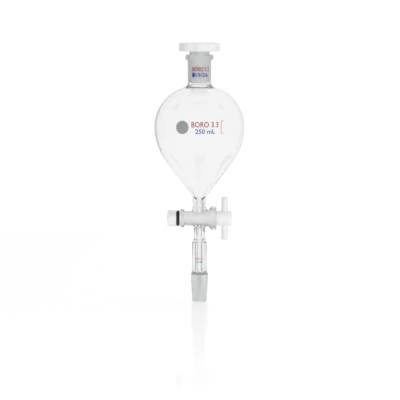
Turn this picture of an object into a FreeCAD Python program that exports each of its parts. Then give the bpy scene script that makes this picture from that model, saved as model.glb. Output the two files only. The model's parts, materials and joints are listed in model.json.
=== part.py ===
import FreeCAD, Part
import math
import os

# Separatory funnel, 250 ml, pear shaped. Millimetres, +Z up.
# The origin is on the funnel's axis, at the lower end of its ground cone.
# The stopcock lies along X, with its handle on the +X side.

V = FreeCAD.Vector

# Joint tapers: conical ground joints and the stopcock plug narrow 1 mm in diameter per 10 mm.
RADIUS_PER_MM = 1 / 20

# Outlet joint: ground cone of 16 mm gauge on a thick tube
CONE_TOP_R = 8.05
CONE_LENGTH = 26.0
CONE_EDGE = 0.6
TUBE_R = 6.75
TUBE_BORE_R = 1.95
TUBE_SHOULDER_Z = 54.8
OUTLET_MOUTH_R = 4.0
OUTLET_FLARE_Z = 14.0

# Weld between the outlet tube and the stopcock's lower arm
WELD_LOW_Z = 58.0
WELD_LOW_R = 5.75
WELD_LOW_BORE_R = 2.7

# Stopcock shell: tapered barrel along X with an arm above and an arm below
STOPCOCK_Z = 78.1
BARREL_MID_R = 7.35
BARREL_GROWTH = 0.057
BARREL_SMALL_X = -17.5
BARREL_LARGE_X = 15.8
BARREL_BORE_MID_R = 5.65
BEAD_R = 8.5
BEAD_WIDTH = 3.0
FLANGE_R = 11.2
FLANGE_WIDTH = 5.8
UPPER_ARM_R = 6.35
LOWER_ARM_R = 5.25
ARM_FILLET = 2.0
UPPER_ARM_START_Z = 88.3
LOWER_ARM_START_Z = 67.8
ARM_BORE_R = 1.65

# Bulb
BULB_R = 42.0
EQUATOR_Z = 164.2
BULB_WALL = 1.6
SHOULDER_ARC_R = 38.0
BELLY_ARC_R = 55.0
DRAIN_ANGLE = math.radians(37.0)
WELD_BULB_Z = 103.0
BELLY_END_Z = 130.0
WAIST_R = 6.05
WAIST_Z = 97.2
DRAIN_BORE_ARC_R = 16.0
MARK_R = 6.1
MARK_Z = 166.2
MARK_AZIMUTH = math.radians(-22.0)
MARK_THICKNESS = 0.12

# Neck with its 19/26 ground socket
NECK_R = 10.9
NECK_FILLET = 4.0
NECK_INNER_FILLET = 1.5
NECK_FOOT_Z = 199.0
TUBE_START_Z = 205.0
RIM_TOP_Z = 231.3
RIM_R = 13.1
RIM_DEPTH = 3.4
RIM_TOP_ROUND = 1.6
RIM_LOW_ROUND = 1.6
RIM_COVE_R = 2.2
SOCKET_TOP_R = 9.4
SOCKET_LENGTH = 26.0

# Stopper
STOPPER_CLEARANCE = 0.05
STOPPER_TIP_Z = 204.8
STOPPER_WALL = 1.7
STOPPER_ROOF_Z = 230.3
HEAD_Z = 234.4
HEAD_HEIGHT = 7.7
HEAD_R = 19.05
HEAD_LOBES = 8
HEAD_TURN = math.radians(2.0)
SCALLOP_R = 15.0
SCALLOP_DEPTH = 1.25
LOBE_ROUND = 1.2

# Stopcock plug, handle and tension parts
PLUG_CLEARANCE = 0.05
PLUG_SMALL_X = -16.5
PLUG_BORE_R = 1.5
HUB_R = 6.87
HUB_START_X = 16.1
HUB_END_X = 30.3
TAIL_R = 4.05
TAIL_END_X = -30.2
TAIL_FLAT = 3.1
THREAD_PITCH = 1.5
THREAD_DEPTH = 0.6
THREAD_TURNS = 7
HANDLE_R = 3.0
HANDLE_X = 23.7
HANDLE_LENGTH = 40.7
WASHER_THICKNESS = 1.1
WASHER_R = 7.4
ORING_SECTION_R = 1.5
ORING_R = 7.35
NUT_CORNER_R = 7.95
NUT_LENGTH = 8.2
NUT_SIDES = 6
NUT_TURN = 8.0
NUT_BORE_R = 4.13
SLACK = 0.05


def upright(r, z):
    """A profile point on the funnel's own axis."""
    return V(r, 0, z)


def lying(r, x):
    """A profile point on the stopcock's axis."""
    return V(x, 0, STOPCOCK_Z + r)


def bow(centre, radius, start, end):
    """Part of a circle in a profile, as its first, middle and last point. Angles are in degrees."""
    points = []
    for degrees in (start, (start + end) / 2, end):
        a = math.radians(degrees)
        points.append((centre[0] + radius * math.cos(a), centre[1] + radius * math.sin(a)))
    return ("bow", points)


def sweep_curve(*points):
    """A smooth curve in a profile, through its points."""
    return ("curve", list(points))


def turned(outline, place=upright):
    """The solid that an outline makes when it turns once round its axis."""
    edges = []
    first = None
    last = None
    for item in outline:
        curved = item[0] in ("bow", "curve")
        points = [place(*p) for p in (item[1] if curved else [item])]
        if last is not None and (points[0] - last).Length > 1e-6:
            edges.append(Part.LineSegment(last, points[0]).toShape())
        if item[0] == "bow":
            edges.append(Part.Arc(*points).toShape())
        if item[0] == "curve":
            curve = Part.BSplineCurve()
            curve.interpolate(points)
            edges.append(curve.toShape())
        first = first or points[0]
        last = points[-1]
    if (first - last).Length > 1e-6:
        edges.append(Part.LineSegment(last, first).toShape())
    face = Part.Face(Part.Wire(edges))
    axis = V(0, 0, 1) if place is upright else V(1, 0, 0)
    return face.revolve(place(0, 0), axis, 360)


def between(shape, low_z, high_z):
    """The part of a shape between two heights."""
    side = 200.0
    slab = Part.makeBox(side, side, high_z - low_z, V(-side / 2, -side / 2, low_z))
    return shape.common(slab)


def check(name, shape):
    """One closed, valid solid per piece, written as a STEP file."""
    solids = shape.Solids
    if len(solids) != 1 or not shape.isValid():
        raise ValueError(f"{name}: {len(solids)} solids, valid {shape.isValid()}")
    solid = solids[0]
    if solid.Volume < 0:
        solid.reverse()
    solid.exportStep(os.path.join("parts", name + ".step"))
    box = solid.BoundBox
    print(f"{name}: {solid.Volume:.1f} mm3, z {box.ZMin:.2f} to {box.ZMax:.2f}")
    return solid


# ---- Bulb ----

SHOULDER_CENTRE = (BULB_R - SHOULDER_ARC_R, EQUATOR_Z)
BELLY_CENTRE = (BULB_R - BELLY_ARC_R, EQUATOR_Z)


def drain_r(z, inset=0.0):
    """Radius of the bulb's straight lower cone at a height, or of a cone inset from it."""
    end_r = BELLY_CENTRE[0] + BELLY_ARC_R * math.cos(DRAIN_ANGLE)
    end_z = EQUATOR_Z - BELLY_ARC_R * math.sin(DRAIN_ANGLE)
    return end_r - (end_z - z) * math.tan(DRAIN_ANGLE) - inset / math.cos(DRAIN_ANGLE)


def shoulder_to_neck(neck_r, fillet, inset):
    """The fillet between the neck and the bulb's shoulder, and the shoulder's arc down to the equator."""
    reach = SHOULDER_ARC_R - inset
    across = neck_r + fillet - SHOULDER_CENTRE[0]
    up = math.sqrt((reach + fillet) ** 2 - across ** 2)
    angle = math.degrees(math.atan2(up, across))
    fillet_centre = (neck_r + fillet, EQUATOR_Z + up)
    return [
        bow(fillet_centre, fillet, 180, 180 + angle),
        bow(SHOULDER_CENTRE, reach, angle, 0),
    ]


def make_bulb():
    drop = math.degrees(DRAIN_ANGLE)
    neck_bore_r = SOCKET_TOP_R - SOCKET_LENGTH * RADIUS_PER_MM
    outer = shoulder_to_neck(NECK_R, NECK_FILLET, 0)
    inner = shoulder_to_neck(neck_bore_r, NECK_INNER_FILLET, BULB_WALL)
    upper = [(NECK_R, TUBE_START_Z), *outer, bow(BELLY_CENTRE, BELLY_ARC_R, 0, -drop)]
    lower_rim = [(drain_r(WELD_BULB_Z), WELD_BULB_Z), (drain_r(WELD_BULB_Z, BULB_WALL), WELD_BULB_Z)]
    inside = [bow(BELLY_CENTRE, BELLY_ARC_R - BULB_WALL, -drop, 0)]
    inside += [(kind, points[::-1]) for kind, points in reversed(inner)]
    return turned([*upper, *lower_rim, *inside, (neck_bore_r, TUBE_START_Z)])


def make_marking_patch():
    """A fired enamel disc on the front of the bulb, for writing on in pencil."""
    thick = MARK_THICKNESS
    band = turned([
        bow(SHOULDER_CENTRE, SHOULDER_ARC_R, 20, 0),
        bow(BELLY_CENTRE, BELLY_ARC_R, 0, -20),
        bow(BELLY_CENTRE, BELLY_ARC_R + thick, -20, 0),
        bow(SHOULDER_CENTRE, SHOULDER_ARC_R + thick, 0, 20),
    ])
    facing = V(math.sin(MARK_AZIMUTH), -math.cos(MARK_AZIMUTH), 0)
    disc = Part.makeCylinder(MARK_R, BULB_R + 5, V(0, 0, MARK_Z), facing)
    return band.common(disc)


# ---- Neck socket ----

def make_socket_tube():
    """A tube with a tapered bore. A cove leads out to its thickened rim."""
    bore_end_r = SOCKET_TOP_R - SOCKET_LENGTH * RADIUS_PER_MM
    reach = RIM_COVE_R + RIM_LOW_ROUND
    lean = math.acos(1 - (RIM_R - NECK_R) / reach)
    rim_low_z = RIM_TOP_Z - RIM_DEPTH
    cove_z = rim_low_z - reach * math.sin(lean)
    turn = math.degrees(lean)
    return turned([
        (bore_end_r, TUBE_START_Z),
        (NECK_R, TUBE_START_Z),
        bow((NECK_R + RIM_COVE_R, cove_z), RIM_COVE_R, 180, 180 - turn),
        bow((RIM_R - RIM_LOW_ROUND, rim_low_z), RIM_LOW_ROUND, -turn, 0),
        bow((RIM_R - RIM_TOP_ROUND, RIM_TOP_Z - RIM_TOP_ROUND), RIM_TOP_ROUND, 0, 90),
        bow((SOCKET_TOP_R + 0.5, RIM_TOP_Z - 0.5), 0.5, 90, 180),
        (bore_end_r, RIM_TOP_Z - SOCKET_LENGTH),
    ])


# ---- Stopcock shell ----

def barrel_r(x):
    return BARREL_MID_R + BARREL_GROWTH * x


def barrel_bore_r(x):
    return BARREL_BORE_MID_R + RADIUS_PER_MM * x


def make_barrel():
    bead_round = BEAD_WIDTH / 2 - 0.1
    flange_round = 2.3
    bead_x = BARREL_SMALL_X + BEAD_WIDTH
    flange_x = BARREL_LARGE_X - FLANGE_WIDTH
    return turned([
        (barrel_bore_r(BARREL_SMALL_X), BARREL_SMALL_X),
        bow((BEAD_R - bead_round, BARREL_SMALL_X + bead_round), bead_round, -90, 0),
        bow((BEAD_R - bead_round, bead_x - bead_round), bead_round, 0, 60),
        (barrel_r(bead_x + 1.0), bead_x + 1.0),
        (barrel_r(flange_x - 1.2), flange_x - 1.2),
        bow((FLANGE_R - flange_round, flange_x + flange_round), flange_round, -60, 0),
        bow((FLANGE_R - 1.4, BARREL_LARGE_X - 1.4), 1.4, 0, 90),
        (barrel_bore_r(BARREL_LARGE_X), BARREL_LARGE_X),
    ], lying)


def make_arms():
    """Solid arms above and below the barrel, before their bores are cut."""
    straight_end_z = WAIST_Z - 7.4
    cone_end_z = WAIST_Z + 2.8
    upper = turned([
        (0, STOPCOCK_Z),
        (UPPER_ARM_R, STOPCOCK_Z),
        (UPPER_ARM_R, straight_end_z),
        sweep_curve((UPPER_ARM_R, straight_end_z), (6.45, WAIST_Z - 4.5), (6.25, WAIST_Z - 2.0),
                    (WAIST_R, WAIST_Z), (6.3, WAIST_Z + 1.4), (drain_r(cone_end_z), cone_end_z)),
        (drain_r(WELD_BULB_Z), WELD_BULB_Z),
        (0, WELD_BULB_Z),
    ])
    lower = turned([
        (0, WELD_LOW_Z),
        sweep_curve((WELD_LOW_R, WELD_LOW_Z), (5.42, WELD_LOW_Z + 0.9), (5.27, WELD_LOW_Z + 2.0),
                    (LOWER_ARM_R, WELD_LOW_Z + 3.4)),
        (LOWER_ARM_R, STOPCOCK_Z),
        (0, STOPCOCK_Z),
    ])
    return upper, lower


def make_bores():
    """The way that the liquid takes: a funnel into the upper arm, and a flare out of the lower arm."""
    drop = math.degrees(DRAIN_ANGLE)
    arc_r = DRAIN_BORE_ARC_R
    end_r = ARM_BORE_R + arc_r * (1 - math.cos(DRAIN_ANGLE))
    end_z = WELD_BULB_Z - (drain_r(WELD_BULB_Z, BULB_WALL) - end_r) / math.tan(DRAIN_ANGLE)
    start_z = end_z - arc_r * math.sin(DRAIN_ANGLE)
    upper = turned([
        (0, STOPCOCK_Z),
        (ARM_BORE_R, STOPCOCK_Z),
        bow((ARM_BORE_R + arc_r, start_z), arc_r, 180, 180 - drop),
        (drain_r(WELD_BULB_Z, BULB_WALL), WELD_BULB_Z),
        (0, WELD_BULB_Z),
    ])
    lower = turned([
        (0, WELD_LOW_Z),
        sweep_curve((WELD_LOW_BORE_R, WELD_LOW_Z), (2.38, WELD_LOW_Z + 1.8), (1.95, WELD_LOW_Z + 3.8),
                    (ARM_BORE_R, WELD_LOW_Z + 7.3)),
        (ARM_BORE_R, STOPCOCK_Z),
        (0, STOPCOCK_Z),
    ])
    return upper, lower


def on_saddle(edge):
    """True for an edge where an arm meets the barrel."""
    for share in (0.1, 0.35, 0.6, 0.85):
        span = edge.LastParameter - edge.FirstParameter
        p = edge.valueAt(edge.FirstParameter + share * span)
        from_arm = math.hypot(p.x, p.y)
        from_barrel = math.hypot(p.y, p.z - STOPCOCK_Z)
        arm_r = UPPER_ARM_R if p.z > STOPCOCK_Z else LOWER_ARM_R
        if abs(from_arm - arm_r) > 0.02 or abs(from_barrel - barrel_r(p.x)) > 0.02:
            return False
    return True


def make_stopcock_shell():
    core = turned([
        (0, BARREL_SMALL_X),
        (barrel_bore_r(BARREL_SMALL_X), BARREL_SMALL_X),
        (barrel_bore_r(BARREL_LARGE_X), BARREL_LARGE_X),
        (0, BARREL_LARGE_X),
    ], lying)
    upper_arm, lower_arm = make_arms()
    body = make_barrel().fuse([core, upper_arm, lower_arm]).removeSplitter()
    saddles = [edge for edge in body.Edges if on_saddle(edge)]
    body = body.makeFillet(ARM_FILLET, saddles)
    upper_bore, lower_bore = make_bores()
    return body.cut([core, upper_bore, lower_bore])


# ---- Outlet joint ----

def make_outlet_joint():
    cone_bottom_r = CONE_TOP_R - CONE_LENGTH * RADIUS_PER_MM
    shoulder = 0.9
    return turned([
        (OUTLET_MOUTH_R, 0),
        (cone_bottom_r - CONE_EDGE, 0),
        bow((cone_bottom_r - CONE_EDGE + 0.03, CONE_EDGE), CONE_EDGE, -90, 0),
        (CONE_TOP_R, CONE_LENGTH - 0.5),
        bow((CONE_TOP_R - 0.5, CONE_LENGTH - 0.5), 0.5, 0, 60),
        sweep_curve((7.3, CONE_LENGTH + 0.6), (7.05, CONE_LENGTH + 3.5), (6.82, CONE_LENGTH + 6.5),
                    (TUBE_R, CONE_LENGTH + 10)),
        bow((TUBE_R - shoulder, TUBE_SHOULDER_Z + 0.1), shoulder, 0, 85),
        sweep_curve((5.35, WELD_LOW_Z - 2.15), (5.2, WELD_LOW_Z - 1.7), (5.45, WELD_LOW_Z - 0.8),
                    (WELD_LOW_R, WELD_LOW_Z)),
        (WELD_LOW_BORE_R, WELD_LOW_Z),
        sweep_curve((WELD_LOW_BORE_R, WELD_LOW_Z), (2.45, WELD_LOW_Z - 1.6), (2.05, WELD_LOW_Z - 3.0),
                    (TUBE_BORE_R, WELD_LOW_Z - 4.7)),
        (TUBE_BORE_R, OUTLET_FLARE_Z),
        sweep_curve((TUBE_BORE_R, OUTLET_FLARE_Z), (2.4, 9.5), (3.2, 4.5), (OUTLET_MOUTH_R, 0)),
    ])


# ---- Stopper ----

def stopper_r(z):
    return SOCKET_TOP_R - STOPPER_CLEARANCE - (RIM_TOP_Z - z) * RADIUS_PER_MM


def make_stopper_head():
    """An eight-lobed grip, moulded hollow from below, with ribs inside its skirt."""
    head = Part.makeCylinder(HEAD_R, HEAD_HEIGHT, V(0, 0, HEAD_Z))
    reach = HEAD_R - SCALLOP_DEPTH + SCALLOP_R
    for i in range(HEAD_LOBES):
        a = HEAD_TURN - math.pi / 2 + (i + 0.5) * 2 * math.pi / HEAD_LOBES
        at = V(reach * math.cos(a), reach * math.sin(a), HEAD_Z - 1)
        head = head.cut(Part.makeCylinder(SCALLOP_R, HEAD_HEIGHT + 2, at))
    corners = [e for e in head.Edges if abs(e.tangentAt(e.FirstParameter).z) > 0.99]
    corners = [e for e in corners if math.hypot(e.CenterOfMass.x, e.CenterOfMass.y) > HEAD_R - 1]
    head = head.makeFillet(LOBE_ROUND, corners)
    rims = [e for e in head.Edges if abs(e.tangentAt(e.FirstParameter).z) < 0.01]
    head = head.makeFillet(0.7, rims)
    dish = turned([
        (0, HEAD_Z + HEAD_HEIGHT - 0.9),
        bow((13.2, HEAD_Z + HEAD_HEIGHT + 0.1), 1.0, -90, 0),
        (0, HEAD_Z + HEAD_HEIGHT + 0.1),
    ])
    return head.cut(dish)


def make_stopper():
    skirt_inner_r = 15.3
    post_r = 11.0
    pocket_depth = 6.0
    rib = 1.4
    pocket = turned([
        (post_r, HEAD_Z - 0.5),
        (skirt_inner_r, HEAD_Z - 0.5),
        (skirt_inner_r, HEAD_Z + pocket_depth),
        (post_r, HEAD_Z + pocket_depth),
    ])
    for i in range(HEAD_LOBES):
        wall = Part.makeBox(HEAD_R, rib, HEAD_HEIGHT, V(0, -rib / 2, HEAD_Z - 1))
        wall.rotate(V(0, 0, 0), V(0, 0, 1), math.degrees(HEAD_TURN) - 90 + i * 360 / HEAD_LOBES)
        pocket = pocket.cut(wall)
    cone = turned([
        (stopper_r(STOPPER_TIP_Z) - STOPPER_WALL, STOPPER_TIP_Z),
        (stopper_r(STOPPER_TIP_Z) - 0.4, STOPPER_TIP_Z),
        (stopper_r(STOPPER_TIP_Z + 0.4), STOPPER_TIP_Z + 0.4),
        (stopper_r(HEAD_Z), HEAD_Z),
        (stopper_r(HEAD_Z), HEAD_Z + 1),
        (0, HEAD_Z + 1),
        (0, STOPPER_ROOF_Z),
        bow((stopper_r(STOPPER_ROOF_Z) - STOPPER_WALL - 2, STOPPER_ROOF_Z - 2), 2, 90, 0),
    ])
    return make_stopper_head().cut(pocket).fuse(cone).removeSplitter()


# ---- Stopcock plug, handle and tension parts ----

def tail_flat_cutter(start_x, end_x, flat):
    """Everything behind the flat that keys the washer to the plug's tail."""
    return Part.makeBox(end_x - start_x, 20, 40, V(start_x, flat, STOPCOCK_Z - 20))


def make_stopcock_plug():
    edge = 0.8
    small_r = barrel_bore_r(PLUG_SMALL_X) - PLUG_CLEARANCE
    large_r = barrel_bore_r(BARREL_LARGE_X) - PLUG_CLEARANCE
    root_r = TAIL_R - THREAD_DEPTH
    thread = []
    for i in range(THREAD_TURNS):
        x = TAIL_END_X + (i + 0.5) * THREAD_PITCH
        thread.append((root_r, x))
        thread.append((TAIL_R, x + THREAD_PITCH * 0.38))
        thread.append((TAIL_R, x + THREAD_PITCH * 0.62))
    thread.append((root_r, TAIL_END_X + (THREAD_TURNS + 0.5) * THREAD_PITCH))
    plug = turned([
        (0, TAIL_END_X),
        (root_r, TAIL_END_X),
        *thread,
        (root_r, PLUG_SMALL_X),
        (small_r - 0.5, PLUG_SMALL_X),
        (small_r, PLUG_SMALL_X + 0.5),
        (large_r, BARREL_LARGE_X),
        (large_r, HUB_START_X),
        (HUB_R - 0.4, HUB_START_X),
        (HUB_R, HUB_START_X + 0.4),
        bow((HUB_R - edge, HUB_END_X - edge), edge, 0, 90),
        (0, HUB_END_X),
    ], lying)
    through = Part.makeCylinder(PLUG_BORE_R, 40, V(0, 0, STOPCOCK_Z - 20))
    handle_hole = Part.makeCylinder(HANDLE_R + 0.01, 40, V(HANDLE_X, 0, STOPCOCK_Z - 20))
    key = tail_flat_cutter(TAIL_END_X - 1, PLUG_SMALL_X - 0.3, TAIL_FLAT)
    return plug.cut([through, handle_hole, key])


def make_handle_bar():
    dome = 2.6
    edge = 0.9
    half = HANDLE_LENGTH / 2
    bar = turned([
        (0, STOPCOCK_Z - half),
        bow((HANDLE_R - edge, STOPCOCK_Z - half + edge), edge, -90, 0),
        bow((HANDLE_R - dome, STOPCOCK_Z + half - dome), dome, 0, 90),
        (0, STOPCOCK_Z + half),
    ])
    bar.translate(V(HANDLE_X, 0, 0))
    return bar


WASHER_END_X = BARREL_SMALL_X - SLACK
WASHER_START_X = WASHER_END_X - WASHER_THICKNESS
ORING_X = WASHER_START_X - SLACK - ORING_SECTION_R
NUT_END_X = ORING_X - ORING_SECTION_R - SLACK
NUT_START_X = NUT_END_X - NUT_LENGTH


def make_washer():
    hole_r = TAIL_R + SLACK
    ring = turned([
        (hole_r, WASHER_START_X),
        (WASHER_R - 0.2, WASHER_START_X),
        (WASHER_R, WASHER_START_X + 0.2),
        (WASHER_R, WASHER_END_X - 0.2),
        (WASHER_R - 0.2, WASHER_END_X),
        (hole_r, WASHER_END_X),
    ], lying)
    core = Part.makeCylinder(hole_r + 0.2, WASHER_THICKNESS, V(WASHER_START_X, 0, STOPCOCK_Z), V(1, 0, 0))
    key = core.common(tail_flat_cutter(WASHER_START_X, WASHER_END_X, TAIL_FLAT + SLACK))
    return ring.fuse(key).removeSplitter()


def make_tension_o_ring():
    centre_r = ORING_R - ORING_SECTION_R
    return Part.makeTorus(centre_r, ORING_SECTION_R, V(ORING_X, 0, STOPCOCK_Z), V(1, 0, 0))


def make_tension_nut():
    """A hexagon with its corners turned off at both ends, more at the outer end."""
    outer_slope = 1.9
    inner_slope = 0.6
    blank = turned([
        (NUT_BORE_R, NUT_START_X),
        (NUT_CORNER_R - outer_slope, NUT_START_X),
        bow((NUT_CORNER_R - outer_slope, NUT_START_X + outer_slope), outer_slope, -90, 0),
        (NUT_CORNER_R, NUT_END_X - inner_slope),
        (NUT_CORNER_R - inner_slope, NUT_END_X),
        (NUT_BORE_R + 0.5, NUT_END_X),
        (NUT_BORE_R, NUT_END_X - 0.5),
    ], lying)
    corners = []
    for i in range(NUT_SIDES + 1):
        a = math.radians(NUT_TURN + i * 360 / NUT_SIDES)
        y = -NUT_CORNER_R * math.sin(a)
        corners.append(V(NUT_START_X - 1, y, STOPCOCK_Z + NUT_CORNER_R * math.cos(a)))
    prism = Part.Face(Part.makePolygon(corners)).extrude(V(NUT_LENGTH + 2, 0, 0))
    edges = [e for e in prism.Edges if abs(e.tangentAt(e.FirstParameter).x) > 0.99]
    return blank.common(prism.makeFillet(0.5, edges))


def main():
    os.makedirs("parts", exist_ok=True)
    bulb = make_bulb()
    shell = make_stopcock_shell()
    arms_r = BARREL_LARGE_X - FLANGE_WIDTH - 0.1
    arms = shell.common(Part.makeCylinder(arms_r, WELD_BULB_Z, V(0, 0, 0)))
    upper_arm = between(arms, UPPER_ARM_START_Z, WELD_BULB_Z)
    lower_arm = between(arms, WELD_LOW_Z, LOWER_ARM_START_Z)
    flared_foot = between(bulb, NECK_FOOT_Z, TUBE_START_Z)
    pieces = {
        "neck_socket": make_socket_tube().fuse(flared_foot).removeSplitter(),
        "bulb_shoulder": between(bulb, EQUATOR_Z, NECK_FOOT_Z),
        "bulb_belly": between(bulb, BELLY_END_Z, EQUATOR_Z),
        "bulb_cone": between(bulb, WELD_BULB_Z, BELLY_END_Z),
        "marking_patch": make_marking_patch(),
        "upper_arm": upper_arm,
        "stopcock_barrel": shell.cut([upper_arm, lower_arm]),
        "lower_arm": lower_arm,
        "outlet_joint": make_outlet_joint(),
        "stopper": make_stopper(),
        "stopcock_plug": make_stopcock_plug(),
        "handle_bar": make_handle_bar(),
        "tension_washer": make_washer(),
        "tension_o_ring": make_tension_o_ring(),
        "tension_nut": make_tension_nut(),
    }
    for name, shape in pieces.items():
        check(name, shape)


main()
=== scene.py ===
# %% [markdown]
# # A 250 ml separatory funnel
#
# The funnel is a pear-shaped glass bulb with a ground socket on top, a stopcock below it, and a thick
# tube that ends in a ground cone. Its frame comes from CAD as named nodes with real joints. This lesson
# adds what CAD leaves out: clear glass in one piece, frosted joints, waxy plastics, fired prints, light
# and a camera.
#
# Everything is in metres, in the frame of the CAD: +Z up, the stopcock along X, its handle at +X, the
# prints on the -Y side.

# %% Load the frame
import json
import math

import bmesh
import bpy
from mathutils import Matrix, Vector
from mathutils.bvhtree import BVHTree


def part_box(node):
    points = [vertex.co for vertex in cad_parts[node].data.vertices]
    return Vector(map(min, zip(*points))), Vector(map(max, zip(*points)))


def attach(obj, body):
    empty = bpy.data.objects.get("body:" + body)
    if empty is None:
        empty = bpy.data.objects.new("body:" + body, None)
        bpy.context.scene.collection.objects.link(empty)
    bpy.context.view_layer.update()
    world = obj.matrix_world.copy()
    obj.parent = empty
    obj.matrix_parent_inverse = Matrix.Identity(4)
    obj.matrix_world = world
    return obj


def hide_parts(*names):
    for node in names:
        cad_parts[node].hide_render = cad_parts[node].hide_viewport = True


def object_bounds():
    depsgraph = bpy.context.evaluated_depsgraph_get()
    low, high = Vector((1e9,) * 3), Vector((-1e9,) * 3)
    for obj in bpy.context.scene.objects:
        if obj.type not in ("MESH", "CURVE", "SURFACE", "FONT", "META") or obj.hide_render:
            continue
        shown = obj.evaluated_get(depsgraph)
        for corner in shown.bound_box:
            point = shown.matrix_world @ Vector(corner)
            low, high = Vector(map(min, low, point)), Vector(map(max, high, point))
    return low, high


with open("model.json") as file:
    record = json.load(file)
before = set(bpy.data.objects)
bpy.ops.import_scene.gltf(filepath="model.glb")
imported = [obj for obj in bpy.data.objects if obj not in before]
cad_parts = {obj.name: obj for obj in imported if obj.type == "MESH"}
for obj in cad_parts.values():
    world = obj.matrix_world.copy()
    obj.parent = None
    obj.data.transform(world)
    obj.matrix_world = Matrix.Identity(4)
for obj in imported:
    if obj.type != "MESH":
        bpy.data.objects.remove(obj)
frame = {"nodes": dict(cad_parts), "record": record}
cad_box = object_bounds()
MM = 0.001
height = cad_box[1].z - cad_box[0].z
print("nodes:", sorted(frame["nodes"]))
print("the funnel is", round(height / MM, 1), "mm tall")

# %% [markdown]
# ## Small tools
#
# Colours are written as sRGB hex values, because that is how swatches and colour pickers give them.
# Shaders work in linear light, so one function turns the first into the second. A second one adds a
# shader node with its settings and links in one call, which keeps each material readable as a short
# recipe. A third puts a new object in the scene, whatever it is made of: a mesh, a text, a lamp or a
# camera.

# %% Colours, shader nodes and objects
def linear(hex_colour):
    """An sRGB hex colour as linear red, green, blue and alpha."""
    channels = [int(hex_colour[i:i + 2], 16) / 255 for i in (1, 3, 5)]
    return [c / 12.92 if c <= 0.04045 else ((c + 0.055) / 1.055) ** 2.4 for c in channels] + [1.0]


def add(tree, kind, settings=None, inputs=None):
    """Adds a node. An input's value is a number, a colour, or another node's output to link."""
    made = tree.nodes.new(kind)
    for name, value in (settings or {}).items():
        setattr(made, name, value)
    for name, value in (inputs or {}).items():
        if isinstance(value, bpy.types.NodeSocket):
            tree.links.new(value, made.inputs[name])
        else:
            made.inputs[name].default_value = value
    return made


def new_material(name):
    """An empty material, and its node tree."""
    material = bpy.data.materials.new(name)
    material.use_nodes = True
    material.node_tree.nodes.clear()
    return material, material.node_tree


def new_object(name, data):
    """An object in the scene, at the origin."""
    made = bpy.data.objects.new(name, data)
    bpy.context.scene.collection.objects.link(made)
    return made


print("mid grey #808080 is", round(linear("#808080")[0], 3), "in linear light")

# %% [markdown]
# ## Borosilicate glass
#
# Laboratory glass is borosilicate 3.3, drawn and blown in a flame. Its IOR is 1.474, its surface is fire
# polished, so its roughness is nearly nothing, and it is all but colourless. What little light it absorbs
# shows where the way through is long: a few millimetres in the bulb, ten in the outlet tube, and over
# twenty along the bulb's edge, where it helps to draw the soft outline.
#
# Flame work leaves long, shallow waves. A bump of 14 mm noise, a few hundredths of a millimetre high,
# bends the highlights a little, as on a real piece. Every pattern in this lesson reads Object
# coordinates, which are metres, so that its scale is a real size.

# %% Clear glass
GLASS_IOR = 1.474
GLASS_LOSS_PER_METRE = 12


def make_clear_glass():
    material, tree = new_material("borosilicate_glass_fire_polished")
    metres = add(tree, "ShaderNodeTexCoord").outputs["Object"]
    waves = add(tree, "ShaderNodeTexNoise", None, {"Vector": metres, "Scale": 1 / (14 * MM), "Detail": 1.0})
    bump = add(tree, "ShaderNodeBump", None,
               {"Height": waves.outputs["Fac"], "Distance": 0.06 * MM, "Strength": 0.5})
    shader = add(tree, "ShaderNodeBsdfPrincipled", None, {
        "Base Color": linear("#ffffff"), "Roughness": 0.0, "IOR": GLASS_IOR,
        "Transmission Weight": 1.0, "Normal": bump.outputs["Normal"]})
    body = add(tree, "ShaderNodeVolumeAbsorption", None,
               {"Color": linear("#000000"), "Density": GLASS_LOSS_PER_METRE})
    add(tree, "ShaderNodeOutputMaterial", None,
        {"Surface": shader.outputs["BSDF"], "Volume": body.outputs["Volume"]})
    return material


clear_glass = make_clear_glass()
print("made", clear_glass.name)

# %% [markdown]
# ## Ground glass
#
# The joints are ground to a 1:10 taper with fine abrasive, about 30 micrometres of grit. The pits scatter
# light, so the joint reads as a soft grey sleeve through which shapes behind it blur. High roughness on a
# transmitting shader gives the blur. The grit itself is far too fine to show, so the bump's grain is
# drawn at 0.5 mm, which gives the faint mottle that the eye expects.

# %% Frosted glass
def make_ground_glass():
    material, tree = new_material("borosilicate_glass_ground")
    metres = add(tree, "ShaderNodeTexCoord").outputs["Object"]
    grain = add(tree, "ShaderNodeTexNoise", None, {"Vector": metres, "Scale": 1 / (0.5 * MM), "Detail": 3.0})
    bump = add(tree, "ShaderNodeBump", None,
               {"Height": grain.outputs["Fac"], "Distance": 0.05 * MM, "Strength": 0.6})
    roughness = add(tree, "ShaderNodeMapRange", None,
                    {"Value": grain.outputs["Fac"], "To Min": 0.42, "To Max": 0.62})
    shader = add(tree, "ShaderNodeBsdfPrincipled", None, {
        "Base Color": linear("#e6e8e8"), "Roughness": roughness.outputs["Result"], "IOR": GLASS_IOR,
        "Transmission Weight": 0.55, "Normal": bump.outputs["Normal"]})
    add(tree, "ShaderNodeOutputMaterial", None, {"Surface": shader.outputs["BSDF"]})
    return material


ground_glass = make_ground_glass()
print("made", ground_glass.name)

# %% [markdown]
# ## Polypropylene
#
# The stopper, the handle bar and the tension nut are moulded polypropylene: white, satin, and slightly
# translucent, so light spreads a millimetre or two under the surface and softens the shading. Subsurface
# scattering at that real depth gives it. The mould's own texture is about a tenth of a millimetre, too
# fine to show, so it is drawn at 0.8 mm, in both the bump and the gloss.

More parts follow.
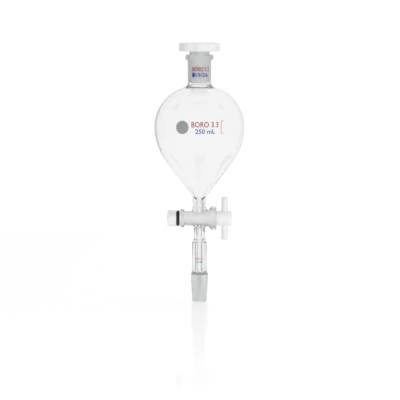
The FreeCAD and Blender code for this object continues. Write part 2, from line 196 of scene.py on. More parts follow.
# %% Moulded polypropylene
def make_polypropylene():
    material, tree = new_material("polypropylene_moulded_white")
    metres = add(tree, "ShaderNodeTexCoord").outputs["Object"]
    grain = add(tree, "ShaderNodeTexNoise", None, {"Vector": metres, "Scale": 1 / (0.8 * MM), "Detail": 2.0})
    bump = add(tree, "ShaderNodeBump", None,
               {"Height": grain.outputs["Fac"], "Distance": 0.02 * MM, "Strength": 0.5})
    roughness = add(tree, "ShaderNodeMapRange", None,
                    {"Value": grain.outputs["Fac"], "To Min": 0.34, "To Max": 0.46})
    shader = add(tree, "ShaderNodeBsdfPrincipled", None, {
        "Base Color": linear("#eff0f0"), "Roughness": roughness.outputs["Result"], "IOR": 1.49,
        "Subsurface Weight": 0.25, "Subsurface Radius": (1.0, 1.0, 1.0), "Subsurface Scale": 1.2 * MM,
        "Normal": bump.outputs["Normal"]})
    add(tree, "ShaderNodeOutputMaterial", None, {"Surface": shader.outputs["BSDF"]})
    return material


polypropylene = make_polypropylene()
print("made", polypropylene.name)

# %% [markdown]
# ## PTFE
#
# The plug and its washer are turned from PTFE, which is whiter and waxier than polypropylene, with the
# low IOR of 1.35. The lathe leaves rings along the plug's axis. A wave texture in bands along X draws
# them. Real ones are a tenth of a millimetre apart, so they are drawn 0.6 mm apart to show at all.
# Blender's bands repeat every 0.314 of a unit at a scale of one, which is where that number comes from.

# %% Turned PTFE
RING_SPACING = 0.6 * MM
BAND_LENGTH = 0.314


def make_ptfe():
    material, tree = new_material("ptfe_turned")
    metres = add(tree, "ShaderNodeTexCoord").outputs["Object"]
    rings = add(tree, "ShaderNodeTexWave", {"bands_direction": "X"},
                {"Vector": metres, "Scale": BAND_LENGTH / RING_SPACING, "Distortion": 0.4, "Detail": 1.0})
    bump = add(tree, "ShaderNodeBump", None,
               {"Height": rings.outputs["Fac"], "Distance": 0.02 * MM, "Strength": 0.35})
    shader = add(tree, "ShaderNodeBsdfPrincipled", None, {
        "Base Color": linear("#f1f2f2"), "Roughness": 0.42, "IOR": 1.35,
        "Subsurface Weight": 0.3, "Subsurface Radius": (1.0, 1.0, 1.0), "Subsurface Scale": 1.0 * MM,
        "Normal": bump.outputs["Normal"]})
    add(tree, "ShaderNodeOutputMaterial", None, {"Surface": shader.outputs["BSDF"]})
    return material


ptfe = make_ptfe()
print("made", ptfe.name)

# %% [markdown]
# ## The wetted seat
#
# The nut pulls the soft PTFE plug so hard into the barrel that it wets the glass: no air is left between
# them, and through the clear barrel the plug looks as wide as the glass. The CAD keeps a running
# clearance there, and air in that gap would mirror the room like a silver tube. So the glass faces of the
# seat get the plug's own white, as seen from inside the glass. It wets the glass unevenly, in smears of
# 2.5 mm.

# %% PTFE seen through the seat
def make_wetted_seat():
    material, tree = new_material("ptfe_pressed_on_glass")
    metres = add(tree, "ShaderNodeTexCoord").outputs["Object"]
    smear = add(tree, "ShaderNodeTexNoise", None, {"Vector": metres, "Scale": 1 / (2.5 * MM), "Detail": 3.0})
    colour = add(tree, "ShaderNodeValToRGB", None, {"Fac": smear.outputs["Fac"]})
    for stop, place, white in zip(colour.color_ramp.elements, (0.3, 0.7), ("#f0f0f0", "#f8f8f8")):
        stop.position = place
        stop.color = linear(white)
    shader = add(tree, "ShaderNodeBsdfPrincipled", None, {
        "Base Color": colour.outputs["Color"], "Roughness": 0.8, "IOR": 1.35})
    add(tree, "ShaderNodeOutputMaterial", None, {"Surface": shader.outputs["BSDF"]})
    return material


wetted_seat = make_wetted_seat()
print("made", wetted_seat.name)

# %% [markdown]
# ## Nitrile rubber
#
# The O-ring is moulded from black nitrile rubber: matt, with a dusty bloom that lifts its colour in
# patches of a millimetre or two. A colour ramp between two near blacks gives the patches.

# %% Moulded rubber
def make_rubber():
    material, tree = new_material("nitrile_rubber_black")
    metres = add(tree, "ShaderNodeTexCoord").outputs["Object"]
    bloom = add(tree, "ShaderNodeTexNoise", None, {"Vector": metres, "Scale": 1 / (1.5 * MM), "Detail": 4.0})
    colour = add(tree, "ShaderNodeValToRGB", None, {"Fac": bloom.outputs["Fac"]})
    for stop, black in zip(colour.color_ramp.elements, ("#0a0a0a", "#1c1c1d")):
        stop.color = linear(black)
    bump = add(tree, "ShaderNodeBump", None,
               {"Height": bloom.outputs["Fac"], "Distance": 0.02 * MM, "Strength": 0.5})
    shader = add(tree, "ShaderNodeBsdfPrincipled", None, {
        "Base Color": colour.outputs["Color"], "Roughness": 0.55, "IOR": 1.52,
        "Normal": bump.outputs["Normal"]})
    add(tree, "ShaderNodeOutputMaterial", None, {"Surface": shader.outputs["BSDF"]})
    return material


rubber = make_rubber()
print("made", rubber.name)

# %% [markdown]
# ## Enamel
#
# The marking patch and the prints are ceramic enamel, screen printed and fired into the glass, so they
# are matt, opaque and lie flat. The patch is a grey that takes pencil. Its slightly chalky tooth is a few
# hundredths of a millimetre on the real one, and is drawn as a 0.4 mm noise in both the colour and the
# bump, so that it shows. The red and the blue are glossier inks of the same kind, so one function makes
# all three.

# %% Fired enamels
def make_enamel(name, dark, light, roughness):
    """A fired enamel whose colour wanders between two hex values."""
    material, tree = new_material(name)
    metres = add(tree, "ShaderNodeTexCoord").outputs["Object"]
    tooth = add(tree, "ShaderNodeTexNoise", None, {"Vector": metres, "Scale": 1 / (0.4 * MM), "Detail": 4.0})
    colour = add(tree, "ShaderNodeValToRGB", None, {"Fac": tooth.outputs["Fac"]})
    for stop, place, shade in zip(colour.color_ramp.elements, (0.3, 0.7), (dark, light)):
        stop.position = place
        stop.color = linear(shade)
    bump = add(tree, "ShaderNodeBump", None,
               {"Height": tooth.outputs["Fac"], "Distance": 0.02 * MM, "Strength": 0.6})
    shader = add(tree, "ShaderNodeBsdfPrincipled", None, {
        "Base Color": colour.outputs["Color"], "Roughness": roughness, "IOR": 1.5,
        "Normal": bump.outputs["Normal"]})
    add(tree, "ShaderNodeOutputMaterial", None, {"Surface": shader.outputs["BSDF"]})
    return material


grey_enamel = make_enamel("enamel_fired_grey", "#939496", "#a3a4a5", roughness=0.75)
red_enamel = make_enamel("enamel_fired_red", "#a81c26", "#bb2e34", roughness=0.55)
blue_enamel = make_enamel("enamel_fired_blue", "#1a4398", "#2b57a8", roughness=0.55)
print("made", grey_enamel.name, red_enamel.name, blue_enamel.name)

# %% [markdown]
# ## Turn the glass on a lathe
#
# The neck, the bulb and the outlet tube are turned work: a glassblower spins them in the flame, so every
# section across the axis is a circle. In Blender, an outline swept round an axis gives the same thing,
# with even rows of four-sided faces that carry the smooth highlights clear glass needs. The outlines
# below use the CAD's own radii and arcs, in millimetres as (radius, height), walked once round the wall:
# up the outside, over the rim and down the inside. Heights start from the boxes of the CAD's nodes.

# %% Outlines from arcs and curves
ARC_STEP = 0.5
SAME_POINT = 0.001


def arc(centre, radius, start, end):
    """Points on a circle, about ARC_STEP millimetres apart. Angles are in degrees."""
    steps = max(3, round(abs(math.radians(end - start)) * radius / ARC_STEP))
    turns = [math.radians(start + (end - start) * i / steps) for i in range(steps + 1)]
    return [(centre[0] + radius * math.cos(a), centre[1] + radius * math.sin(a)) for a in turns]


def curve(*points, steps=6):
    """A smooth curve through its points, as a Catmull-Rom spline."""
    known = [Vector(p) for p in points]
    known = [2 * known[0] - known[1]] + known + [2 * known[-1] - known[-2]]
    made = []
    for p0, p1, p2, p3 in zip(known, known[1:], known[2:], known[3:]):
        for i in range(steps):
            t = i / steps
            made.append(0.5 * (2 * p1 + (p2 - p0) * t + (2 * p0 - 5 * p1 + 4 * p2 - p3) * t ** 2
                               + (3 * p1 - p0 - 3 * p2 + p3) * t ** 3))
    return [tuple(p) for p in made] + [tuple(points[-1])]


def lathe(name, outline, segments=160):
    """A closed outline, in millimetres, turned once round the vertical axis."""
    kept = [p for i, p in enumerate(outline) if math.dist(p, outline[i - 1]) > SAME_POINT]
    verts = []
    for r, z in kept:
        for i in range(segments):
            a = 2 * math.pi * i / segments
            verts.append((r * MM * math.cos(a), r * MM * math.sin(a), z * MM))
    faces = []
    for row in range(len(kept)):
        after = (row + 1) % len(kept)
        for i in range(segments):
            j = (i + 1) % segments
            faces.append((row * segments + i, row * segments + j, after * segments + j,
                          after * segments + i))
    mesh = bpy.data.meshes.new(name)
    mesh.from_pydata(verts, [], faces)
    shape = bmesh.new()
    shape.from_mesh(mesh)
    bmesh.ops.recalc_face_normals(shape, faces=shape.faces)
    shape.to_mesh(mesh)
    shape.free()
    return new_object(name, mesh)


print("a quarter turn of 10 mm radius has", len(arc((0, 0), 10, 0, 90)), "points")

# %% [markdown]
# ## The neck and the bulb
#
# The bulb's outline is three tangent stretches: a round shoulder, a longer belly arc, and a straight
# drain cone. The inside follows it one wall thickness further in, and a small fillet runs into the neck.
# The ground socket narrows by a twentieth of its depth on each side, which is the 1:10 taper of every
# standard joint.

# %% Sizes of the neck and the bulb
mounts = {mount["name"]: mount for mount in frame["record"]["mounts"]}
WALL = 1.6
EQUATOR_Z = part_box("bulb_belly")[1].z / MM
BULB_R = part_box("bulb_belly")[1].x / MM
SHOULDER_R = 38.0
BELLY_R = 55.0
DRAIN = math.radians(37.0)
RIM_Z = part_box("neck_socket")[1].z / MM
RIM_R = 13.1
NECK_R = 10.9
NECK_FILLET = 4.0
NECK_INNER_FILLET = 1.5
LIP_ROUND = 0.5
TAPER = 1 / 20
SOCKET_R = mounts["neck_joint"]["dims"]["r_mm"]
SOCKET_LENGTH = mounts["neck_joint"]["dims"]["length_mm"]
UPPER_WELD_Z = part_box("upper_arm")[0].z / MM
CONE_END_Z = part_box("upper_arm")[1].z / MM
WAIST_BELOW_BULB = 5.8
WAIST_Z = CONE_END_Z - WAIST_BELOW_BULB
ARM_R = 6.35
BORE_R = 1.65
THROAT_ROUND = 16.0

shoulder_centre = (BULB_R - SHOULDER_R, EQUATOR_Z)
belly_centre = (BULB_R - BELLY_R, EQUATOR_Z)
print("the bulb is widest,", round(2 * BULB_R, 1), "mm, at", round(EQUATOR_Z, 1), "mm")

# %% [markdown]
# Each stretch is a small function, so that the outside and the inside of the wall share the same
# arithmetic. The rim was melted and pushed back on itself: it leaves the neck through a hollow cove and
# turns over in a thick round bead.

# %% Neck and bulb
def drain_r(z, inset=0.0):
    """Radius of the drain cone at a height, or of its inside, one inset further in."""
    end_r = belly_centre[0] + BELLY_R * math.cos(DRAIN)
    end_z = EQUATOR_Z - BELLY_R * math.sin(DRAIN)
    return end_r - (end_z - z) * math.tan(DRAIN) - inset / math.cos(DRAIN)


def shoulder_to_neck(neck_r, fillet, inset):
    """Up the shoulder from the equator and through a fillet into the neck."""
    reach = SHOULDER_R - inset
    across = neck_r + fillet - shoulder_centre[0]
    up = math.sqrt((reach + fillet) ** 2 - across ** 2)
    angle = math.degrees(math.atan2(up, across))
    return (arc(shoulder_centre, reach, 0, angle)
            + arc((neck_r + fillet, EQUATOR_Z + up), fillet, 180 + angle, 180))


def rim(top_round=1.6, low_round=1.6, cove=2.2, depth=3.4):
    """From the neck out through a cove, round the thick rim and over its top."""
    lean = math.acos(1 - (RIM_R - NECK_R) / (cove + low_round))
    low_z = RIM_Z - depth
    cove_z = low_z - (cove + low_round) * math.sin(lean)
    turn = math.degrees(lean)
    return (arc((NECK_R + cove, cove_z), cove, 180, 180 - turn)
            + arc((RIM_R - low_round, low_z), low_round, -turn, 0)
            + arc((RIM_R - top_round, RIM_Z - top_round), top_round, 0, 90)
            + arc((SOCKET_R + LIP_ROUND, RIM_Z - LIP_ROUND), LIP_ROUND, 90, 180))


def upper_outline():
    drop = math.degrees(DRAIN)
    socket_end_r = SOCKET_R - SOCKET_LENGTH * TAPER
    arm = curve((ARM_R, WAIST_Z - 7.4), (6.45, WAIST_Z - 4.5), (6.25, WAIST_Z - 2.0), (6.05, WAIST_Z),
                (6.3, WAIST_Z + 1.4), (drain_r(WAIST_Z + 2.8), WAIST_Z + 2.8))
    outside = [(ARM_R, UPPER_WELD_Z), *arm, *arc(belly_centre, BELLY_R, -drop, 0),
               *shoulder_to_neck(NECK_R, NECK_FILLET, 0), *rim()]
    inside = shoulder_to_neck(socket_end_r, NECK_INNER_FILLET, WALL)[::-1]
    throat_r = BORE_R + THROAT_ROUND * (1 - math.cos(DRAIN))
    throat_z = CONE_END_Z - (drain_r(CONE_END_Z, WALL) - throat_r) / math.tan(DRAIN)
    throat = arc((BORE_R + THROAT_ROUND, throat_z - THROAT_ROUND * math.sin(DRAIN)), THROAT_ROUND,
                 180 - drop, 180)
    return [*outside, (socket_end_r, RIM_Z - SOCKET_LENGTH), *inside,
            *arc(belly_centre, BELLY_R - WALL, 0, -drop), *throat, (BORE_R, UPPER_WELD_Z)]


upper_glass = lathe("upper_glass", upper_outline())
print("neck and bulb:", len(upper_glass.data.polygons), "faces")

# %% [markdown]
# ## The outlet
#
# The outlet is thick tube with a bore of about four millimetres. The flame leaves a soft waist where it
# was sealed to the stopcock, a round shoulder on the tube, and a flared mouth inside the cone. These are
# free shapes and not arcs, so a smooth curve through a few measured points draws them.

# %% Outlet tube and cone
CONE_R = mounts["outlet_cone"]["dims"]["r_mm"]
CONE_Z = mounts["outlet_cone"]["pos_m"][2] / MM
CONE_LENGTH = 26.0
LOWER_WELD_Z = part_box("lower_arm")[1].z / MM
SEAL_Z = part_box("lower_arm")[0].z / MM
TUBE_R = 6.75
TUBE_SHOULDER = 0.9


def lower_outline():
    arm_r, seal_r, tube_bore_r, seal_bore_r, mouth_r = 5.25, 5.75, 1.95, 2.7, 4.0
    cone_end_r = CONE_R - CONE_LENGTH * TAPER
    outside = [(arm_r, LOWER_WELD_Z),
               *curve((arm_r, SEAL_Z + 3.4), (5.27, SEAL_Z + 2.0), (5.42, SEAL_Z + 0.9), (seal_r, SEAL_Z)),
               *curve((seal_r, SEAL_Z), (5.45, SEAL_Z - 0.8), (5.2, SEAL_Z - 1.7), (5.35, SEAL_Z - 2.15)),
               *arc((TUBE_R - TUBE_SHOULDER, SEAL_Z - 3.1), TUBE_SHOULDER, 85, 0),
               *curve((TUBE_R, CONE_Z + 10.5), (6.82, CONE_Z + 7.0), (7.05, CONE_Z + 4.0),
                      (7.3, CONE_Z + 1.1)),
               *arc((CONE_R - 0.5, CONE_Z), 0.5, 60, 0),
               *arc((cone_end_r - 0.57, 0.6), 0.6, 0, -90)]
    inside = [*curve((mouth_r, 0), (3.2, 4.5), (2.4, 9.5), (tube_bore_r, 14.0)),
              *curve((tube_bore_r, SEAL_Z - 4.7), (2.05, SEAL_Z - 3.0), (2.45, SEAL_Z - 1.6),
                     (seal_bore_r, SEAL_Z)),
              *curve((seal_bore_r, SEAL_Z), (2.38, SEAL_Z + 1.8), (1.95, SEAL_Z + 3.8),
                     (BORE_R, SEAL_Z + 7.3)),
              (BORE_R, LOWER_WELD_Z)]
    return outside + inside


lower_glass = lathe("lower_glass", lower_outline())
print("outlet:", len(lower_glass.data.polygons), "faces")

# %% [markdown]
# ## One piece of glass
#
# On the real funnel all of this is fused into one piece, and light runs through the welds without seeing
# them. Two solids that meet face to face would show as rings, so a boolean union joins the turned glass
# to a copy of the stopcock's barrel and removes the faces inside the welds. The barrel keeps the CAD's
# mesh, which has the soft saddles where the arms meet it.
#
# A boolean needs closed solids, so the barrel's split vertices are merged first. The union leaves slivers
# where faces of both solids almost agree, so it is followed by a second, slightly wider merge. The count
# of open edges shows whether the result is closed.

# %% Weld the glass
GLASS_NODES = ["neck_socket", "bulb_shoulder", "bulb_belly", "bulb_cone", "upper_arm", "stopcock_barrel",
               "lower_arm", "outlet_joint"]
SPLIT_REACH = 0.0005 * MM
SLIVER_REACH = 0.004 * MM


def merge_vertices(mesh, reach):
    """Joins vertices that lie within reach of each other, and drops the faces that this flattens."""
    shape = bmesh.new()
    shape.from_mesh(mesh)
    bmesh.ops.remove_doubles(shape, verts=shape.verts, dist=reach)
    bmesh.ops.dissolve_degenerate(shape, edges=shape.edges, dist=reach)
    shape.to_mesh(mesh)
    shape.free()


def closed_copy(node):
    """A copy of a CAD node's mesh with its vertices merged, as a new object."""
    mesh = frame["nodes"][node].data.copy()
    merge_vertices(mesh, SPLIT_REACH)
    mesh.materials.clear()
    return new_object("copy_of_" + node, mesh)


def evaluated_mesh(thing):
    """The mesh that an object shows, with its modifiers applied."""
    bpy.context.view_layer.update()
    graph = bpy.context.evaluated_depsgraph_get()
    return bpy.data.meshes.new_from_object(thing.evaluated_get(graph))


def weld(base, others):
    """One closed piece of glass in place of several solids that touch."""
    for other in others:
        union = base.modifiers.new("weld", "BOOLEAN")
        union.operation = "UNION"
        union.solver = "EXACT"
        union.object = other
    mesh = evaluated_mesh(base)
    merge_vertices(mesh, SLIVER_REACH)
    mesh.name = "glass_body"
    body = new_object("glass_body", mesh)
    for used in [base, *others]:
        bpy.data.objects.remove(used)
    return body


def count_open_edges(mesh):
    """How many edges don't join exactly two faces."""
    shape = bmesh.new()
    shape.from_mesh(mesh)
    count = sum(not edge.is_manifold for edge in shape.edges)
    shape.free()
    return count


glass_body = weld(upper_glass, [closed_copy("stopcock_barrel"), lower_glass])
print("glass:", len(glass_body.data.polygons), "faces,", count_open_edges(glass_body.data), "open edges")

# %% [markdown]
# ## Smooth faces and crisp edges
#
# A fire-polished surface has no facets. Smooth shading averages the face normals at each vertex, and
# edges sharper than 35 degrees are kept crisp, such as the ends of the barrel's bore.

# %% Smooth shading
CRISP_FROM = math.radians(35)

glass_body.data.shade_smooth()
glass_body.data.set_sharp_from_angle(angle=CRISP_FROM)
print("smooth, and crisp from", round(math.degrees(CRISP_FROM)), "degrees")

# %% [markdown]
# ## Frost the joints
#
# The record's mounts give both ground joints: radius at the large end, length, and the end's place. A
# face belongs to a joint if it lies on that cone, so the frosted zones are picked by measuring each face
# and not by hand. The seat is picked in the same way, by its distance from the plug. They are further
# materials on the same mesh, which keeps the glass closed. The rim was melted to make it thick, and the
# flame polished the first few millimetres of the socket again, so those stay clear.

# %% Pick the ground faces
POLISHED = {"neck_joint": 5.2 * MM, "outlet_cone": 0.0}
CONE_SLACK = 0.06 * MM
SEAT_REACH = 0.1 * MM

plug_mesh = frame["nodes"]["stopcock_plug"].data
plug_tree = BVHTree.FromPolygons([v.co for v in plug_mesh.vertices],
                                 [p.vertices for p in plug_mesh.polygons])


def on_ground_cone(point, mount):
    """True if a point lies on a mount's ground cone, which narrows downwards."""
    below = mount["pos_m"][2] - point.z
    if not POLISHED[mount["name"]] <= below <= mount["dims"]["length_mm"] * MM:
        return False
    radius = mount["dims"]["r_mm"] * MM - below * TAPER
    return abs(math.hypot(point.x, point.y) - radius) < CONE_SLACK


def on_seat(point):
    """True if a point of the glass all but touches the plug."""
    return plug_tree.find_nearest(point, SEAT_REACH)[0] is not None


glass_finishes = [clear_glass, ground_glass, wetted_seat]
for finish in glass_finishes:
    glass_body.data.materials.append(finish)
for face in glass_body.data.polygons:
    if any(on_ground_cone(face.center, mounts[joint]) for joint in POLISHED):
        face.material_index = glass_finishes.index(ground_glass)
    elif on_seat(face.center):
        face.material_index = glass_finishes.index(wetted_seat)
for index, finish in enumerate(glass_finishes):
    print(finish.name, "on", sum(face.material_index == index for face in glass_body.data.polygons), "faces")

# %% [markdown]
# The glass now takes the place of the eight CAD nodes that it was cut into, and rides on the same body as
# they do. Clear glass casts hardly any shadow, but a renderer that doesn't trace caustics gives it a dark
# one, so its shadow is switched off.

# %% Put the glass in the CAD's place
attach(glass_body, "funnel")
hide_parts(*GLASS_NODES)
glass_body.visible_shadow = False
print("one piece of glass for", len(GLASS_NODES), "nodes")

# %% [markdown]
# ## Finish the CAD pieces
#
# The stopper, the plug, the handle bar, the washer, the O-ring, the nut and the marking patch already
# have their real shape in CAD, with its rounds and its scallops, so they stay and only get their finish.

# %% Dress the CAD pieces
FINISHES = {
    "stopper": polypropylene, "handle_bar": polypropylene, "tension_nut": polypropylene,
    "stopcock_plug": ptfe, "tension_washer": ptfe, "tension_o_ring": rubber, "marking_patch": grey_enamel,
}
for node, finish in FINISHES.items():
    materials = frame["nodes"][node].data.materials
    materials.clear()
    materials.append(finish)
print("dressed", len(FINISHES), "CAD pieces")

# %% [markdown]
# ## Fired prints
#
# A maker prints the glass type, the capacity and the joint sizes. The words here are generic ones. Each
# print is a flat text, cut into small faces so that it can bend, laid on the glass by a shrinkwrap that
# projects it backwards, and given a few hundredths of a millimetre of thickness.

# %% Lay a print on the glass
PRINT_LIFT = 0.03 * MM
PRINT_THICKNESS = 0.04 * MM
PRINT_FACE = 1.0 * MM
SCREEN_Y = -60 * MM


def cut_small(mesh, longest):
    """Splits a mesh's long edges until none is longer than the length given."""
    shape = bmesh.new()
    shape.from_mesh(mesh)
    bmesh.ops.triangulate(shape, faces=shape.faces)
    for _ in range(6):
        long_edges = [edge for edge in shape.edges if edge.calc_length() > longest]
        if not long_edges:
            break
        bmesh.ops.subdivide_edges(shape, edges=long_edges, cuts=1)
        bmesh.ops.triangulate(shape, faces=shape.faces)
    shape.to_mesh(mesh)
    shape.free()


def lay_on_glass(name, mesh, material):
    """Projects a flat mesh, upright in front of the funnel, onto the glass behind it."""
    cut_small(mesh, PRINT_FACE)
    flat = new_object(name + "_flat", mesh)
    wrap = flat.modifiers.new("lay", "SHRINKWRAP")
    wrap.wrap_method = "PROJECT"
    wrap.use_project_y = True
    wrap.use_negative_direction = False
    wrap.use_positive_direction = True
    wrap.target = glass_body
    wrap.offset = PRINT_LIFT
    thick = flat.modifiers.new("thick", "SOLIDIFY")
    thick.thickness = PRINT_THICKNESS
    laid = evaluated_mesh(flat)
    bpy.data.objects.remove(flat)
    laid.materials.clear()
    laid.materials.append(material)
    piece = new_object(name, laid)
    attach(piece, "funnel")
    print(name, "has", len(laid.polygons), "faces")


print("a print is", round(PRINT_THICKNESS / MM, 3), "mm thick")

# %% [markdown]
# Blender's own font comes at its own size, so each text is measured and stretched to the width and height
# of the real print. An offset on the letters thickens their strokes. The bracket and the block are plain
# rectangles, given by two corners.

# %% Words and bars
BOLD = 0.014
REGULAR = 0.004


def print_text(name, words, centre, size, material, weight):
    """Text of a given width and height, centred at x and z in front of the funnel. Weight thickens it."""
    letters = bpy.data.curves.new(name, "FONT")
    letters.body = words
    letters.resolution_u = 4
    letters.offset = weight
    text = new_object(name + "_text", letters)
    mesh = evaluated_mesh(text)
    bpy.data.objects.remove(text)
    low_x, high_x = min(v.co.x for v in mesh.vertices), max(v.co.x for v in mesh.vertices)
    low_y, high_y = min(v.co.y for v in mesh.vertices), max(v.co.y for v in mesh.vertices)
    for v in mesh.vertices:
        across = (v.co.x - low_x) / (high_x - low_x) - 0.5
        up = (v.co.y - low_y) / (high_y - low_y) - 0.5
        v.co = Vector((centre[0] + across * size[0], SCREEN_Y, centre[1] + up * size[1]))
    lay_on_glass(name, mesh, material)


def print_bars(name, bars, material):
    """Printed rectangles, each given by its low and high corner in x and z."""
    shape = bmesh.new()
    for (x0, z0), (x1, z1) in bars:
        corners = [(x0, z0), (x1, z0), (x1, z1), (x0, z1)]
        shape.faces.new([shape.verts.new((x, SCREEN_Y, z)) for x, z in corners])
    mesh = bpy.data.meshes.new(name)
    shape.to_mesh(mesh)
    shape.free()
    lay_on_glass(name, mesh, material)


print("strokes are thickened by", BOLD, "and", REGULAR, "of a letter's size")

# %% [markdown]
# The prints hang from the features they sit by: those on the bulb from the marking patch, those on the
# neck from the rim, and those on the outlet from the top of its tube.

# %% Print the bulb, the neck and the outlet tube
patch_low, patch_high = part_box("marking_patch")
patch_z = (patch_low.z + patch_high.z) / 2
rim_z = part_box("neck_socket")[1].z
tube_top_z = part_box("outlet_joint")[1].z
bracket_x, bracket_arm, bracket_line = 19.6 * MM, 2.4 * MM, 0.4 * MM
bracket_low, bracket_high = patch_z - 5.6 * MM, patch_z + 6.0 * MM

print_text("print_glass_type", "BORO 3.3", (5.0 * MM, patch_z + 2.6 * MM), (24.6 * MM, 5.0 * MM),
           red_enamel, BOLD)
print_text("print_capacity", "250 mL", (5.3 * MM, patch_z - 3.6 * MM), (18.2 * MM, 4.3 * MM),
           blue_enamel, BOLD)
print_bars("print_bracket", [
    ((bracket_x, bracket_low), (bracket_x + bracket_line, bracket_high)),
    ((bracket_x, bracket_low), (bracket_x + bracket_arm, bracket_low + bracket_line)),
    ((bracket_x, bracket_high - bracket_line), (bracket_x + bracket_arm, bracket_high)),
], red_enamel)
print_text("print_neck_type", "BORO 3.3", (1.2 * MM, rim_z - 13.2 * MM), (15.4 * MM, 3.9 * MM),
           red_enamel, REGULAR)
print_bars("print_neck_block", [((-6.6 * MM, rim_z - 20.6 * MM), (-4.4 * MM, rim_z - 16.6 * MM))],
           blue_enamel)
print_text("print_neck_size", "19/26", (2.2 * MM, rim_z - 18.6 * MM), (11.4 * MM, 3.7 * MM),
           blue_enamel, REGULAR)
print_text("print_outlet_type", "BORO 3.3", (-0.2 * MM, tube_top_z - 17.4 * MM), (7.2 * MM, 1.7 * MM),
           red_enamel, REGULAR)
print_text("print_outlet_size", "16/26", (-0.2 * MM, tube_top_z - 20.3 * MM), (5.4 * MM, 1.9 * MM),
           blue_enamel, REGULAR)

# %% [markdown]
# ## The floor
#
# The floor is a sheet of cast white acrylic, plain, pale and glossy, wide enough that its edge is out of
# sight from the front. It is polished, so at a low angle it mirrors the foot of the funnel, with a haze
# that changes over 40 mm. A little light of its own brings it to the white of the background. It lies a
# hair under the glass, because two faces in one plane flicker.

# %% Floor
FLOOR_GLOW = 0.20
FLOOR_DROP = 0.1 * MM


def make_floor():
    left, right, near, far = -0.6, 0.6, -0.6, 0.5
    mesh = bpy.data.meshes.new("floor")
    mesh.from_pydata([(left, near, 0), (right, near, 0), (right, far, 0), (left, far, 0)], [],
                     [(0, 1, 2, 3)])
    floor = new_object("floor", mesh)
    floor.location.z = -FLOOR_DROP
    material, tree = new_material("acrylic_sheet_white")
    metres = add(tree, "ShaderNodeTexCoord").outputs["Object"]
    haze = add(tree, "ShaderNodeTexNoise", None, {"Vector": metres, "Scale": 1 / (40 * MM), "Detail": 2.0})
    roughness = add(tree, "ShaderNodeMapRange", None,
                    {"Value": haze.outputs["Fac"], "To Min": 0.1, "To Max": 0.16})
    shader = add(tree, "ShaderNodeBsdfPrincipled", None, {
        "Base Color": linear("#f4f4f4"), "Roughness": roughness.outputs["Result"], "IOR": 1.49,
        "Emission Color": linear("#ffffff"), "Emission Strength": FLOOR_GLOW})
    add(tree, "ShaderNodeOutputMaterial", None, {"Surface": shader.outputs["BSDF"]})
    mesh.materials.append(material)
    return floor


floor = make_floor()
print("the floor is", round(floor.dimensions.x, 2), "by", round(floor.dimensions.y, 2), "m")

# %% [markdown]
# ## The room
#
# Clear glass only shows what surrounds it. In a bright, even room it vanishes, so a studio leaves a dark
# gap on each side of the white wall behind it: rays that leave the thin bulb near its edge bend about
# twenty degrees sideways, into a gap, and draw the soft outline. The world's shader paints that wall by
# direction, and the light path node picks who sees what: light that went through the glass meets the wall
# with its gaps, surfaces are lit and mirrored by a plainer room, and the camera sees an even white.

# %% The room that light through the glass meets
WALL_WHITE = 0.95
GAP_AT = math.radians(21)
GAP_HALF_WIDTH = math.radians(9)
GAP_CORE = 0.4 * GAP_HALF_WIDTH


def wall_with_gaps(tree, x, y, z):
    """A white wall with a soft dark gap on each side of straight behind."""
    angle = add(tree, "ShaderNodeMath", {"operation": "ARCTAN2"}, {0: x, 1: y})
    turn = add(tree, "ShaderNodeMath", {"operation": "ABSOLUTE"}, {0: angle.outputs[0]})
    off_gap = add(tree, "ShaderNodeMath", {"operation": "SUBTRACT"}, {0: turn.outputs[0], 1: GAP_AT})
    distance = add(tree, "ShaderNodeMath", {"operation": "ABSOLUTE"}, {0: off_gap.outputs[0]})
    gap = add(tree, "ShaderNodeMapRange", {"interpolation_type": "SMOOTHSTEP"}, {
        "Value": distance.outputs[0], "From Min": GAP_HALF_WIDTH, "From Max": GAP_CORE})
    not_above = add(tree, "ShaderNodeMapRange", None, {
        "Value": z, "From Min": 0.08, "From Max": 0.25, "To Min": 1.0, "To Max": 0.0})
    depth = add(tree, "ShaderNodeMath", {"operation": "MULTIPLY"},
                {0: gap.outputs["Result"], 1: not_above.outputs["Result"]})
    gap_light = add(tree, "ShaderNodeMapRange", None, {
        "Value": x, "From Min": -0.4, "From Max": 0.4, "To Min": 0.5, "To Max": 0.85})
    wall = add(tree, "ShaderNodeMapRange", None, {
        "Value": depth.outputs[0], "To Min": WALL_WHITE, "To Max": gap_light.outputs["Result"]})
    return wall.outputs["Result"]


print("gaps at", round(math.degrees(GAP_AT)), "degrees to each side of straight behind")

# %% [markdown]
# White plastics show the room by their shading, so the room that lights them is dim in front and on the
# left, and bright behind and on the right.

# %% The room that surfaces meet
BACKGROUND_WHITE = 1.02


def light_on_surfaces(tree, x, y):
    """Dim in front and on the left, bright behind and on the right."""
    along = add(tree, "ShaderNodeMapRange", None, {"Value": y, "From Min": -0.2, "From Max": 0.8})
    front = add(tree, "ShaderNodeMapRange", None, {
        "Value": x, "From Min": -1.0, "From Max": 1.0, "To Min": 0.46, "To Max": 0.7})
    behind = add(tree, "ShaderNodeMapRange", None, {
        "Value": x, "From Min": -0.9, "From Max": 0.3, "To Min": 0.6, "To Max": 1.0})
    light = add(tree, "ShaderNodeMapRange", None, {
        "Value": along.outputs["Result"], "To Min": front.outputs["Result"],
        "To Max": behind.outputs["Result"]})
    return light.outputs["Result"]


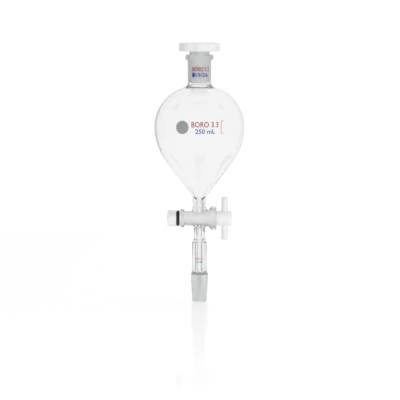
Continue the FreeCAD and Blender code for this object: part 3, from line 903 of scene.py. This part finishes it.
def make_room():
    world = bpy.data.worlds.new("studio")
    world.use_nodes = True
    tree = world.node_tree
    tree.nodes.clear()
    way = add(tree, "ShaderNodeTexCoord").outputs["Generated"]
    x, y, z = add(tree, "ShaderNodeSeparateXYZ", None, {0: way}).outputs
    path = add(tree, "ShaderNodeLightPath")
    inside = add(tree, "ShaderNodeMix", {"data_type": "FLOAT"}, {
        "Factor": path.outputs["Is Transmission Ray"], 2: light_on_surfaces(tree, x, y),
        3: wall_with_gaps(tree, x, y, z)})
    strength = add(tree, "ShaderNodeMix", {"data_type": "FLOAT"}, {
        "Factor": path.outputs["Is Camera Ray"], 2: inside.outputs[0], 3: BACKGROUND_WHITE})
    light = add(tree, "ShaderNodeBackground", None,
                {"Color": linear("#ffffff"), "Strength": strength.outputs[0]})
    add(tree, "ShaderNodeOutputWorld", None, {"Surface": light.outputs["Background"]})
    bpy.context.scene.world = world


make_room()
print("the room has", len(bpy.context.scene.world.node_tree.nodes), "nodes")

# %% [markdown]
# ## Dark cards
#
# Thick tubes bend light much further than the bulb does, so their lines come from black cards that stand
# beside them on the studio table, too low for the bulb to see. The left and the right card draw the two
# edges of the tube and of its bore. The narrow one behind it, to the right, adds the thin line inside. Only
# light through the glass can see them.

# %% Dark cards beside the tubes
CARD_HEIGHTS = (-20 * MM, 70 * MM)


def make_black_card():
    """Matt black card. Its 2 mm fibre only changes how matt it is."""
    material, tree = new_material("card_matt_black")
    metres = add(tree, "ShaderNodeTexCoord").outputs["Object"]
    fibre = add(tree, "ShaderNodeTexNoise", None, {"Vector": metres, "Scale": 1 / (2 * MM)})
    roughness = add(tree, "ShaderNodeMapRange", None,
                    {"Value": fibre.outputs["Fac"], "To Min": 0.8, "To Max": 0.95})
    shader = add(tree, "ShaderNodeBsdfPrincipled", None,
                 {"Base Color": linear("#202020"), "Roughness": roughness.outputs["Result"]})
    add(tree, "ShaderNodeOutputMaterial", None, {"Surface": shader.outputs["BSDF"]})
    return material


def dark_card(name, start, end, material):
    """An upright card over a line on the floor, from start to end."""
    low, high = CARD_HEIGHTS
    mesh = bpy.data.meshes.new(name)
    mesh.from_pydata([(*start, low), (*end, low), (*end, high), (*start, high)], [], [(0, 1, 2, 3)])
    mesh.materials.append(material)
    card = new_object(name, mesh)
    card.visible_camera = False
    card.visible_glossy = False
    card.visible_diffuse = False
    card.visible_shadow = False


black_card = make_black_card()
dark_card("card_left", (-0.12, 0.01), (-0.12, 0.04), black_card)
dark_card("card_right", (0.12, 0.01), (0.12, 0.07), black_card)
dark_card("card_behind", (0.0291, 0.08), (0.0348, 0.08), black_card)
print("cards reach up to", round(CARD_HEIGHTS[1] / MM), "mm")

# %% [markdown]
# ## Soft boxes
#
# A large soft box in front, a little above and to the right, models the white plastics: bright faces, a
# darker left side and dark undersides. A weaker one above lights the stopper's top. Both are hidden from
# the glass, which would mirror them as bright squares.

# %% Soft boxes
def soft_box(name, place, width, power):
    """A square area light that faces the funnel's middle."""
    lamp = bpy.data.lights.new(name, "AREA")
    lamp.shape = "SQUARE"
    lamp.size = width
    lamp.energy = power
    box = new_object(name, lamp)
    box.location = place
    box.rotation_euler = (Vector((0, 0, height * 0.5)) - Vector(place)).to_track_quat("-Z", "Y").to_euler()
    box.visible_glossy = False
    box.visible_transmission = False
    print(name, "soft box:", width, "m wide,", power, "W")


soft_box("key", (0.15, -1.5, 0.5), width=1.0, power=8.0)
soft_box("top", (0.1, 0.1, 1.6), width=1.2, power=2.5)

# %% [markdown]
# ## Camera
#
# A long lens from a little above the stopper keeps the verticals straight and shows the bulb nearly in
# elevation. The frame is one and a half times as tall as the funnel. Colours are shown without a film
# curve, so white stays white.

# %% Camera and colour
CAMERA_DISTANCE = 1.6
CAMERA_HEIGHT = height + 35 * MM
FRAME_WIDTH = 375 * MM
SENSOR_WIDTH = 36

aim = Vector((0.5 * MM, 0, height * 0.3936))
camera = new_object("camera", bpy.data.cameras.new("camera"))
camera.location = (aim.x, -CAMERA_DISTANCE, CAMERA_HEIGHT)
camera.rotation_mode = "QUATERNION"
camera.rotation_quaternion = (aim - camera.location).to_track_quat("-Z", "Y")
camera.data.sensor_width = SENSOR_WIDTH
camera.data.lens = SENSOR_WIDTH * (aim - camera.location).length / FRAME_WIDTH
bpy.context.scene.camera = camera
bpy.context.scene.view_settings.view_transform = "Standard"
print("lens", round(camera.data.lens, 1), "mm")
